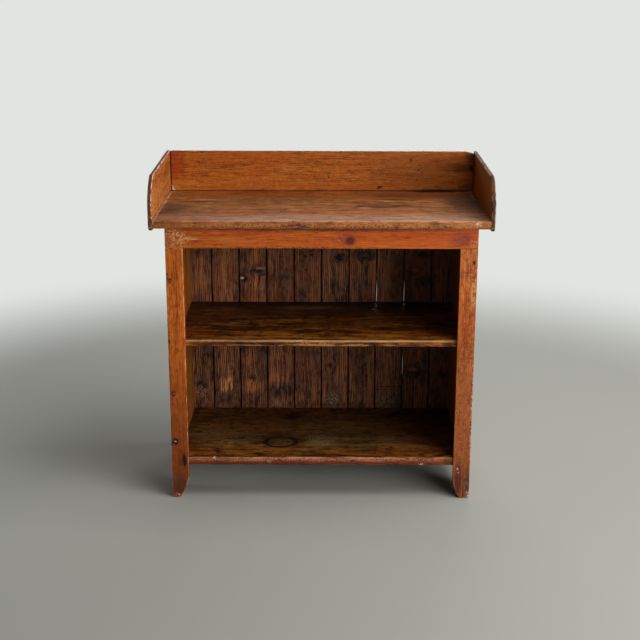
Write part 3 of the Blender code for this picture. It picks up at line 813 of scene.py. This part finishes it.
SIDE_MARKS = {
    "left": [
        (0, 0, 800, 130, 0x422416, 85, BROKEN), (0, 810, 800, 50, DRIP, 70, BROKEN),
        (-190, 500, 40, 400, GRIME, 55, BROKEN), (210, 400, 50, 500, GRIME, 55, BROKEN),
        (20, 440, 120, 170, 0xB8703C, 45, BROKEN), (100, 620, 50, 160, DRIP, 60, BROKEN),
        (-120, 220, 70, 90, 0x5C321A, 60, BROKEN)],
    "right": [
        (0, 0, 800, 120, 0x422416, 85, BROKEN), (0, 810, 800, 50, DRIP, 70, BROKEN),
        (-190, 450, 30, 450, GRIME, 55, BROKEN), (200, 400, 50, 500, GRIME, 55, BROKEN),
        (-70, 540, 110, 150, 0xB8703C, 45, BROKEN), (80, 330, 50, 180, DRIP, 60, BROKEN),
        (20, 700, 60, 70, DRIP, 55, BROKEN), (-130, 170, 60, 80, 0x5C321A, 60, BROKEN)],
}
SIDE_KNOTS = {"left": [(-30, 580, 11, 14, 80), (130, 250, 6, 8, 80)],
              "right": [(70, 610, 10, 14, 80), (-110, 360, 6, 7, 80), (140, 190, 8, 12, 80)]}
SIDE_FINISH = {
    side: wood(
        f"aged_pine_side_{side}", "Z", (0x4C2808, 0x784616, 0x905E24, 0x803C0E),
        stains_and_shade=marks_on(("Y", 240, 100), [(0, 400, 600, 600, 0x46240C, 60)])
        + marks_on(("X", sign * SIDE_PLACE, 14), [
            (0, 420, 800, 1200, 0x9A4C1C, 72), (0, 420, 800, 1200, 0x682E10, 65, BROKEN)]),
        knots=knots_on(("X", sign * SIDE_PLACE, 10), SIDE_KNOTS[side], depth=10),
        blots=marks_on(("X", sign * SIDE_PLACE, 18), SIDE_MARKS[side]),
        ring=0.3, band=2.6, streak=2.1, mottle=1.4, spacing=0.006, gloss=0.10, seed=10.0)
    for side, sign in SIDES
}
# Holes in the back boards that are not cut: painted near-black spots stand in for their shade.
BACK_HOLES = ((-51, 643), (-32, 648), (-34, 660))
SMALL_BACK_HOLES = ((-51, 620), (-50, 597), (-40, 630))
BACK_MARKS = [
    (-255, 570, 8, 6, 0xBAA67E, 95), (-252, 590, 22, 22, INK, 70),
    (-205, 560, 22, 36, BACK_GOLD, 75, BROKEN), (-220, 640, 18, 45, BACK_GOLD, 75, BROKEN),
    (-196, 602, 22, 6, 0x9E745A, 55), (-203, 594, 32, 8, SOOT_AND_SHADE, 97), (-188, 583, 20, 8, SOOT_AND_SHADE, 97),
    (-113, 573, 44, 16, INK, 75), (-61, 511, 22, 36, INK, 85), (-383, 592, 24, 70, BACK_GOLD, 30, BROKEN),
    (-300, 523, 34, 55, BACK_GOLD, 30, BROKEN), (-390, 656, 36, 22, INK, 60), (-402, 500, 34, 24, INK, 60),
    (-272, 514, 24, 34, INK, 50), (50, 640, 20, 8, SOOT_AND_SHADE, 95), (67, 648, 16, 7, SOOT_AND_SHADE, 90),
    (136, 653, 26, 12, SOOT_AND_SHADE, 90), (140, 633, 40, 7, SOOT_AND_SHADE, 60), (230, 650, 11, 16, SOOT_AND_SHADE, 90),
    (242, 630, 14, 14, SOOT_AND_SHADE, 95), (322, 652, 30, 13, SOOT_AND_SHADE, 90), (289, 588, 18, 10, SOOT_AND_SHADE, 95),
    (300, 597, 14, 11, 0x965428, 80), (322, 567, 18, 11, SOOT_AND_SHADE, 90), (336, 553, 20, 14, SOOT_AND_SHADE, 97),
    *[(across, up, 10, 6.5, HOLE_SHADE_BLACK, 97) for across, up in BACK_HOLES],
    *[(across, up, 6.5, 5.5, HOLE_SHADE_BLACK, 97) for across, up in SMALL_BACK_HOLES],
    (-51, 610, 24, 40, SOOT_AND_SHADE, 70, FLAKED), (-392, 205, 22, 48, INK, 80),
    (-396, 184, 32, 34, 0x9C7062, 50, FLAKED), (-310, 208, 40, 50, 0xCC8848, 85, BROKEN),
    (-317, 162, 56, 30, INK, 85), (-315, 238, 20, 20, INK, 65), (-236, 168, 72, 36, INK, 55),
    (-194, 320, 28, 34, INK, 85), (-191, 262, 30, 75, INK, 50), (-243, 300, 32, 44, BACK_GOLD, 65, BROKEN),
    (-235, 203, 44, 36, BACK_GOLD, 75, BROKEN), (-183, 190, 14, 50, BACK_GOLD, 75, BROKEN),
    (-141, 187, 54, 44, INK, 90), (-98, 198, 20, 32, INK, 85), (-146, 223, 40, 40, BACK_GOLD, 50, BROKEN),
    (-153, 139, 36, 12, 0xAA8C78, 70, FLAKED), (-20, 317, 30, 36, INK, 75), (-20, 255, 26, 80, INK, 50),
    (-48, 190, 6, 6, SOOT_AND_SHADE, 90), (36, 156, 34, 40, INK, 60), (36, 156, 32, 38, 0x96806E, 60, FLAKED),
    (220, 202, 72, 4, SOOT_AND_SHADE, 95), (220, 193, 72, 3.4, SOOT_AND_SHADE, 85), (219, 152, 72, 36, INK, 70),
    (219, 152, 60, 30, 0x8C7462, 60, FLAKED), (242, 232, 10, 10, SOOT_AND_SHADE, 90),
    (300, 262, 24, 10, 0x96684A, 60), (284, 248, 20, 13, SOOT_AND_SHADE, 90), (307, 238, 32, 18, SOOT_AND_SHADE, 90),
    (334, 226, 24, 26, INK, 80), (338, 300, 20, 56, INK, 75), (410, 254, 14, 10, SOOT_AND_SHADE, 90),
    (0, 130, WIDE, 30, SOOT_AND_SHADE, 70, BROKEN)]
BACK_FINISH = wood(
    "dark_pine_back", "Z", (0x160A06, 0x472719, 0x925A36, 0x683218),
    knots=knots_on(BACK, [
        (-250, 568, 12, 8, 100), (-200, 591, 17, 7.5, 100), (57.5, 637, 15, 10, 100),
        (134, 647, 22, 13, 100), (243, 621, 13, 16, 100), (290, 592, 13, 8, 100), (319.5, 650, 15, 10, 100),
        (334.5, 559, 18, 13, 100), (-228, 231, 9, 8, 100), (278, 250, 11, 12, 60),
        (317.5, 260, 18, 16, 100), (400, 246.5, 11, 10, 100), (28.6, 276.5, 7, 7, 100)]),
    blots=marks_on(BACK, BACK_MARKS),
    pith=(0, 0.27, 0), lean=(0.03, 0.02, 0), ring=0.55, band=1.8, streak=2.3, fine=2.3, mottle=0.8,
    # The two depths are those between which the lapped joints are painted near-black: painted shade in the
    # gaps.
    board_pitch=0.0882, worn=0x6E4C38, worn_share=0.4, joint=(0.2226, 0.2370), rough=0.55, gloss=0.08,
    seed=11.0)
BROWN_NAIL = nail_iron("varnished_nail_iron", 0x60321A, 0x8E4C24)
BARE_NAIL = nail_iron("bare_nail_iron", 0x807062, 0xBAA894)
RUSTED_NAIL = nail_iron("rusted_nail_iron", 0x3A241A, 0x80563C)
BARE_NAILS = ("nail_stile_left_1",)


# Boards
SOLE_WEAR = {"left": [(0.4445, 0.0015), (0.4380, 0)],
             "right": [(0.4445, 0.0050), (0.4360, 0.0036), (0.4275, 0.0030), (0.4265, 0)]}
FOOT_CRACK = [(0.4256, -0.002), (0.4280, -0.002), (0.4246, 0.112), (0.4239, 0.112)]
FOOT_CRACK_DEPTH = 0.014
STILE_PITS = {
    "left": [((-0.4090, -0.2102, 0.1180), (0.0036, 0.0018, 0.0105)),
             ((-0.4415, -0.2102, 0.6950), (0.0020, 0.0016, 0.0040)),
             ((-0.4192, -0.2102, 0.4653), (0.0030, 0.0010, 0.0022))],
    "right": [((0.4340, -0.2102, 0.7280), (0.0028, 0.0024, 0.0036)),
              ((0.4080, -0.2102, 0.0950), (0.0026, 0.0012, 0.0036))],
}
RAIL_NICKS = [  # place along the lower edge, reach and depth
    (-0.3215, 0.008, 0.0024), (-0.2815, 0.006, 0.0018), (-0.2255, 0.010, 0.0022), (-0.1775, 0.006, 0.0028),
    (-0.1335, 0.009, 0.0020), (-0.0978, 0.006, 0.0026), (-0.0583, 0.010, 0.0018), (0.0239, 0.008, 0.0024),
    (0.1260, 0.012, 0.0018), (0.2423, 0.008, 0.0024), (0.3300, 0.007, 0.0018)]
LIT_SLITS = {  # board: foot and top of each slit, and what is left of the lap at its foot
    7: ((0.4915, 0.640, 0.0031),),
    8: ((0.4915, 0.620, 0.0032), (0.236, 0.350, 0.0030)),
}
SLIT_TAPER = 0.0007  # a lap breaks off less and less towards the top of its slit
BACK_EASE = 0.0015
BACK_WANDER = 0.0005  # the edges of a back board wander by up to this
BACK_WANDER_SCALE = (16.0, 7.3)
BACK_NAIL_PIT = (0.0042, 0.0016, 0.0042)
BACK_NAIL_RADIUS = 0.0029
BACK_NAIL_SIDES = 9
BACK_NAIL_SINK = 0.0004


def build_rail():
    low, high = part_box("top_rail")
    outline = rectangle(low.x, high.x, low.z, high.z)
    nicks = [(Vector((across, low.y, low.z)), reach, bite) for across, reach, bite in RAIL_NICKS]
    add_board("top_rail", outline, "Y", RAIL_FINISH, radius=0.0016, wear=0.001, seed=21, dents=40,
              nicks=nicks)


def build_stile(side, sign):
    node = f"front_stile_{side}"
    low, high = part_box(node)
    outer, inner = sorted((low.x, high.x), key=abs, reverse=True)
    foot = bowed((abs(outer) - FOOT_SOLE[side], 0), (abs(inner), FOOT_TAPER_HEIGHT), FOOT_BOW[side])
    outline = [(abs(outer), high.z), *SOLE_WEAR[side], *foot, (abs(inner), high.z)]
    outline = [(sign * across, up) for across, up in outline]
    cutters = []
    if side == "right":
        cutters.append(prism(FOOT_CRACK, "Y", low.y - CUTTER_MOUTH, low.y + FOOT_CRACK_DEPTH))
    add_board(node, outline, "Y", STILE_FINISH[side], radius=0.0022, wear=0.0009, seed=30 + sign, dents=40,
              cutters=cutters, pits=STILE_PITS[side])


def build_gallery_back():
    low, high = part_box("gallery_back")
    outline = [(low.x, low.z), (high.x, low.z), (high.x, high.z - WORN_CORNER_DROP),
               (high.x - WORN_CORNER_LENGTH, high.z), (low.x, high.z)]
    add_board("gallery_back", outline, "Y", GALLERY_BACK_FINISH, radius=0.0022, wear=0.001, seed=41,
              dents=30)


def build_gallery_side(side, seed):
    node = f"gallery_side_{side}"
    low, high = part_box(node)
    shoulder = high.z - GALLERY_FALL
    nose = bowed((low.y + GALLERY_NOSE_LENGTH, shoulder), (low.y, shoulder - GALLERY_NOSE_DROP),
                 -GALLERY_NOSE_BOW)
    outline = [(high.y, low.z), (high.y, high.z), *nose,
               (low.y, low.z + GALLERY_TOE_RADIUS), (low.y + GALLERY_TOE_RADIUS, low.z)]
    add_board(node, outline, "X", GALLERY_SIDE_FINISH[side], radius=0.003, wear=0.001, seed=seed, dents=24)


def build_top():
    low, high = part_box("top_board")
    outline = rectangle(low.x, high.x, low.y, high.y)
    add_board("top_board", outline, "Z", TOP_FINISH, radius=0.0012, wear=0.0012, seed=61,
              dents=60, nose=True)


def build_shelf(node, material, seed):
    low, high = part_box(node)
    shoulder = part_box("front_stile_right")[0].x - FIT
    back_of_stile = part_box("side_panel_right")[0].y
    outline = [(high.x, high.y), (low.x, high.y), (low.x, back_of_stile), (-shoulder, back_of_stile),
               (-shoulder, low.y), (shoulder, low.y), (shoulder, back_of_stile), (high.x, back_of_stile)]
    add_board(node, outline, "Z", material, radius=0.0012, wear=0.0010, seed=seed, dents=50,
              nose=True)


def build_side(side, sign):
    """A side panel with its arch, the grooves for the shelves and the rebate for the back."""
    node = f"side_panel_{side}"
    low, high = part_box(node)
    arch_front = low.y + SIDE_FOOT_FRONT
    arch_rear = high.y - SIDE_FOOT_REAR
    middle = (arch_front + arch_rear) / 2
    half = (arch_rear - arch_front) / 2
    outline = [(high.y, 0), (high.y, high.z), (low.y, high.z), (low.y, 0)]
    for step in range(ARCH_STEPS + 1):
        turn = math.pi * step / ARCH_STEPS
        outline.append((middle - half * math.cos(turn), ARCH_RISE * math.sin(turn)))
    outer, inner = sorted((low.x, high.x), key=abs, reverse=True)
    thick = high.x - low.x
    groove = sorted((inner - sign * HOUSING_DEPTH, inner + sign * HOUSING_DEPTH))
    cutters = []
    for shelf in ("shelf_middle", "shelf_bottom"):
        under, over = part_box(shelf)
        opening = rectangle(low.y - thick, high.y + thick, under.z - FIT, over.z + FIT)
        cutters.append(prism(opening, "X", *groove))
    rebate = sorted((inner - sign * thick, outer - sign * BACK_LIP))
    back_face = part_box("back_board_01")[0].y
    cutters.append(prism(rectangle(back_face - FIT, high.y + thick, -thick, high.z + thick), "X", *rebate))
    add_board(node, outline, "X", SIDE_FINISH[side], radius=0.0016, wear=0.0008, seed=70 + sign, dents=30,
              cutters=cutters, by_place=True)


def back_nail_places(number):
    """Where a back board is nailed to the shelves, on its rear face."""
    low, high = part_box(f"back_board_{number:02d}")
    across = (low.x + BACK_LAP + high.x) / 2 if number > 1 else (low.x + high.x) / 2
    heights = [sum(corner.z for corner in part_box(shelf)) / 2 for shelf in ("shelf_bottom", "shelf_middle")]
    return [Vector((across, high.y, height)) for height in heights]


def build_back_nails(count):
    """The heads of the nails behind the back boards, sunk a little below their faces."""
    bm = bmesh.new()
    turn = Matrix.Rotation(math.pi / 2, 4, "X")
    thick = BACK_NAIL_PIT[1]
    for number in range(1, count + 1):
        for place in back_nail_places(number):
            middle = place - Vector((0, BACK_NAIL_SINK + thick / 2, 0))
            matrix = Matrix.Translation(middle) @ turn
            bmesh.ops.create_cone(bm, cap_ends=True, segments=BACK_NAIL_SIDES, radius1=BACK_NAIL_RADIUS,
                                  radius2=BACK_NAIL_RADIUS, depth=thick, matrix=matrix)
    nails = new_object("back_board_nails", bm)
    nails.data.materials.append(RUSTED_NAIL)
    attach(nails, "root")


def build_back_board(number, count):
    """A lapped board. Where a slit is lit, its rear half has lost the lap."""
    node = f"back_board_{number:02d}"
    low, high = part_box(node)
    left_lap = BACK_LAP if number > 1 else 0.0
    right = high.x - (BACK_LAP if number < count else 0.0)
    halfway = (low.y + high.y) / 2
    ease = BACK_EASE
    section = [(low.x, low.y + ease), (low.x + ease, low.y), (right - ease, low.y), (right, low.y + ease)]
    if number < count:
        section += [(right, halfway + FIT / 2), (high.x, halfway + FIT / 2)]
    section += [(high.x, high.y - ease), (high.x - ease, high.y)]
    section += [(low.x + left_lap + ease, high.y), (low.x + left_lap, high.y - ease)]
    if left_lap:
        section += [(low.x + left_lap, halfway - FIT / 2), (low.x, halfway - FIT / 2)]
    bm = bmesh.new()
    edge = bm.verts.layers.float.new("edge")
    steps = round((high.z - low.z) / RING_STEP)
    up_scale, board_scale = BACK_WANDER_SCALE
    loops = []
    for step in range(steps + 1):
        height = low.z + (high.z - low.z) * step / steps
        stubs = [stub + SLIT_TAPER * (height - bottom) / (top - bottom)
                 for bottom, top, stub in LIT_SLITS.get(number, ()) if bottom < height < top]
        shift = [BACK_WANDER * abs(noise.noise(Vector((height * up_scale, number * board_scale, side))))
                 for side in (0, 5.0)]
        loop = []
        for across, depth in section:
            is_left = across < (low.x + right) / 2
            if stubs and across > right + TOUCH:
                across = right + stubs[0]
            across += shift[0] if is_left else -shift[1]
            v = bm.verts.new((across, depth, height))
            v[edge] = 1.0 if depth < low.y + 2 * ease else 0.0
            loop.append(v)
        loops.append(loop)
    for lower, upper in zip(loops, loops[1:]):
        for index in range(len(section)):
            after = (index + 1) % len(section)
            bm.faces.new((lower[index], lower[after], upper[after], upper[index]))
    bm.faces.new(list(reversed(loops[0])))
    bm.faces.new(loops[-1])
    bmesh.ops.recalc_face_normals(bm, faces=bm.faces)
    bm = carve(bm, [pit_cutter([(place, BACK_NAIL_PIT) for place in back_nail_places(number)])])
    add_piece(node, bm, BACK_FINISH)


build_rail()
build_top()
build_gallery_back()
build_shelf("shelf_middle", SHELF_FINISH, seed=81)
build_shelf("shelf_bottom", BOTTOM_FINISH, seed=82)
for (side, sign), gallery_seed in zip(SIDES, (51, 52)):
    build_stile(side, sign)
    build_side(side, sign)
    build_gallery_side(side, gallery_seed)
back_count = sum(name.startswith("back_board_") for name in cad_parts)
for number in range(1, back_count + 1):
    build_back_board(number, back_count)
build_back_nails(back_count)
for name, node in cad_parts.items():
    if name.startswith("nail_"):
        node.data.materials.clear()
        node.data.materials.append(BARE_NAIL if name in BARE_NAILS else BROWN_NAIL)


# Stage, light and camera
FLOOR_HALF_WIDTH = 9.0
FLOOR_FADE = (1.45, 2.7)  # from here to there, out from the middle, the floor turns into the pale world
FLOOR_GREY = 0x989891
PALE = 0xE2E4E0
SKY = (0.95, 0.98, 1.0)
SKY_STRENGTH = 0.035
COOL = (0.96, 0.98, 1.0)
LAMPS = {  # place, height that it points at, width, height, power, colour
    "window": ((2.92, -3.02, 1.3), 0.55, 3.6, 1.5, 190.0, (1.0, 0.98, 0.95)),
    "ceiling": ((1.6, -0.6, 3.3), 0.5, 2.4, 2.4, 105.0, (0.98, 0.99, 1.0)),
    "fill": ((0.2, -4.3, 0.9), 0.5, 2.0, 1.2, 9.0, COOL),
    "rear": ((0.5, 3.3, 1.85), 0.5, 2.4, 0.5, 62.0, COOL),
    "left": ((-3.3, 0.8, 0.65), 0.5, 2.0, 0.4, 34.0, COOL),
}
FOCAL_PIXELS = 1250.0
IMAGE_PIXELS = 640.0
SENSOR = 36.0
CAMERA_PLACE = (0.0009, -3.6683, 1.5752)
CAMERA_TURN = math.radians(0.08)
CAMERA_TILT = math.radians(16.4)
CAMERA_ROLL = math.radians(0.14)


def seen_rays(g):
    """1 for the rays that show the background: from the camera, and by gloss or through glass."""
    rays = g.node("ShaderNodeLightPath").outputs
    seen = g.math("MAXIMUM", rays["Is Camera Ray"], rays["Is Glossy Ray"])
    return g.math("MAXIMUM", seen, rays["Is Transmission Ray"])


def build_floor():
    """A plain pale floor, which fades into the pale world well away from the object."""
    bm = bmesh.new()
    bmesh.ops.create_grid(bm, x_segments=1, y_segments=1, size=FLOOR_HALF_WIDTH)
    floor = new_object("stage_floor", bm)
    material, tree, shader = new_material("stage_floor_grey")
    g = Graph(tree)
    g.feed(shader.inputs["Base Color"], srgb(FLOOR_GREY))
    shader.inputs["Roughness"].default_value = 0.9
    shader.inputs["Specular IOR Level"].default_value = 0.1
    away = g.vector("LENGTH", g.node("ShaderNodeTexCoord").outputs["Object"])
    share = g.times(g.step(away, *FLOOR_FADE), seen_rays(g))
    pale = g.node("ShaderNodeEmission", {"Color": srgb(PALE), "Strength": 1.0})
    both = g.node("ShaderNodeMixShader", {0: share, 1: shader.outputs[0], 2: pale.outputs[0]})
    g.feed(tree.nodes["Material Output"].inputs["Surface"], both.outputs[0])
    floor.data.materials.append(material)


def add_lamp(name, place, aim, width, height, power, colour):
    data = bpy.data.lights.new(name, "AREA")
    data.shape = "RECTANGLE"
    data.size = width
    data.size_y = height
    data.energy = power
    data.color = colour
    lamp = bpy.data.objects.new(name, data)
    lamp.location = place
    lamp.rotation_euler = (Vector((0, 0, aim)) - Vector(place)).to_track_quat("-Z", "Y").to_euler()
    lamp.visible_camera = False
    bpy.context.scene.collection.objects.link(lamp)


def light_scene():
    world = bpy.data.worlds.new("soft_daylight")
    bpy.context.scene.world = world
    world.use_nodes = True
    g = Graph(world.node_tree)
    soft = g.node("ShaderNodeBackground", {"Color": SKY, "Strength": SKY_STRENGTH})
    pale = g.node("ShaderNodeBackground", {"Color": srgb(PALE), "Strength": 1.0})
    both = g.node("ShaderNodeMixShader", {0: seen_rays(g), 1: soft.outputs[0], 2: pale.outputs[0]})
    g.feed(world.node_tree.nodes["World Output"].inputs["Surface"], both.outputs[0])
    for name, lamp in LAMPS.items():
        add_lamp(name, *lamp)


def place_camera():
    data = bpy.data.cameras.new("camera")
    data.sensor_width = SENSOR
    data.lens = FOCAL_PIXELS / IMAGE_PIXELS * SENSOR
    camera = bpy.data.objects.new("camera", data)
    pitch = Matrix.Rotation(math.pi / 2 - CAMERA_TILT, 4, "X")
    camera.matrix_world = (Matrix.Translation(CAMERA_PLACE) @ Matrix.Rotation(CAMERA_TURN, 4, "Z")
                           @ pitch @ Matrix.Rotation(CAMERA_ROLL, 4, "Z"))
    bpy.context.scene.collection.objects.link(camera)
    bpy.context.scene.camera = camera


build_floor()
light_scene()
place_camera()
bpy.context.scene.view_settings.view_transform = "Standard"
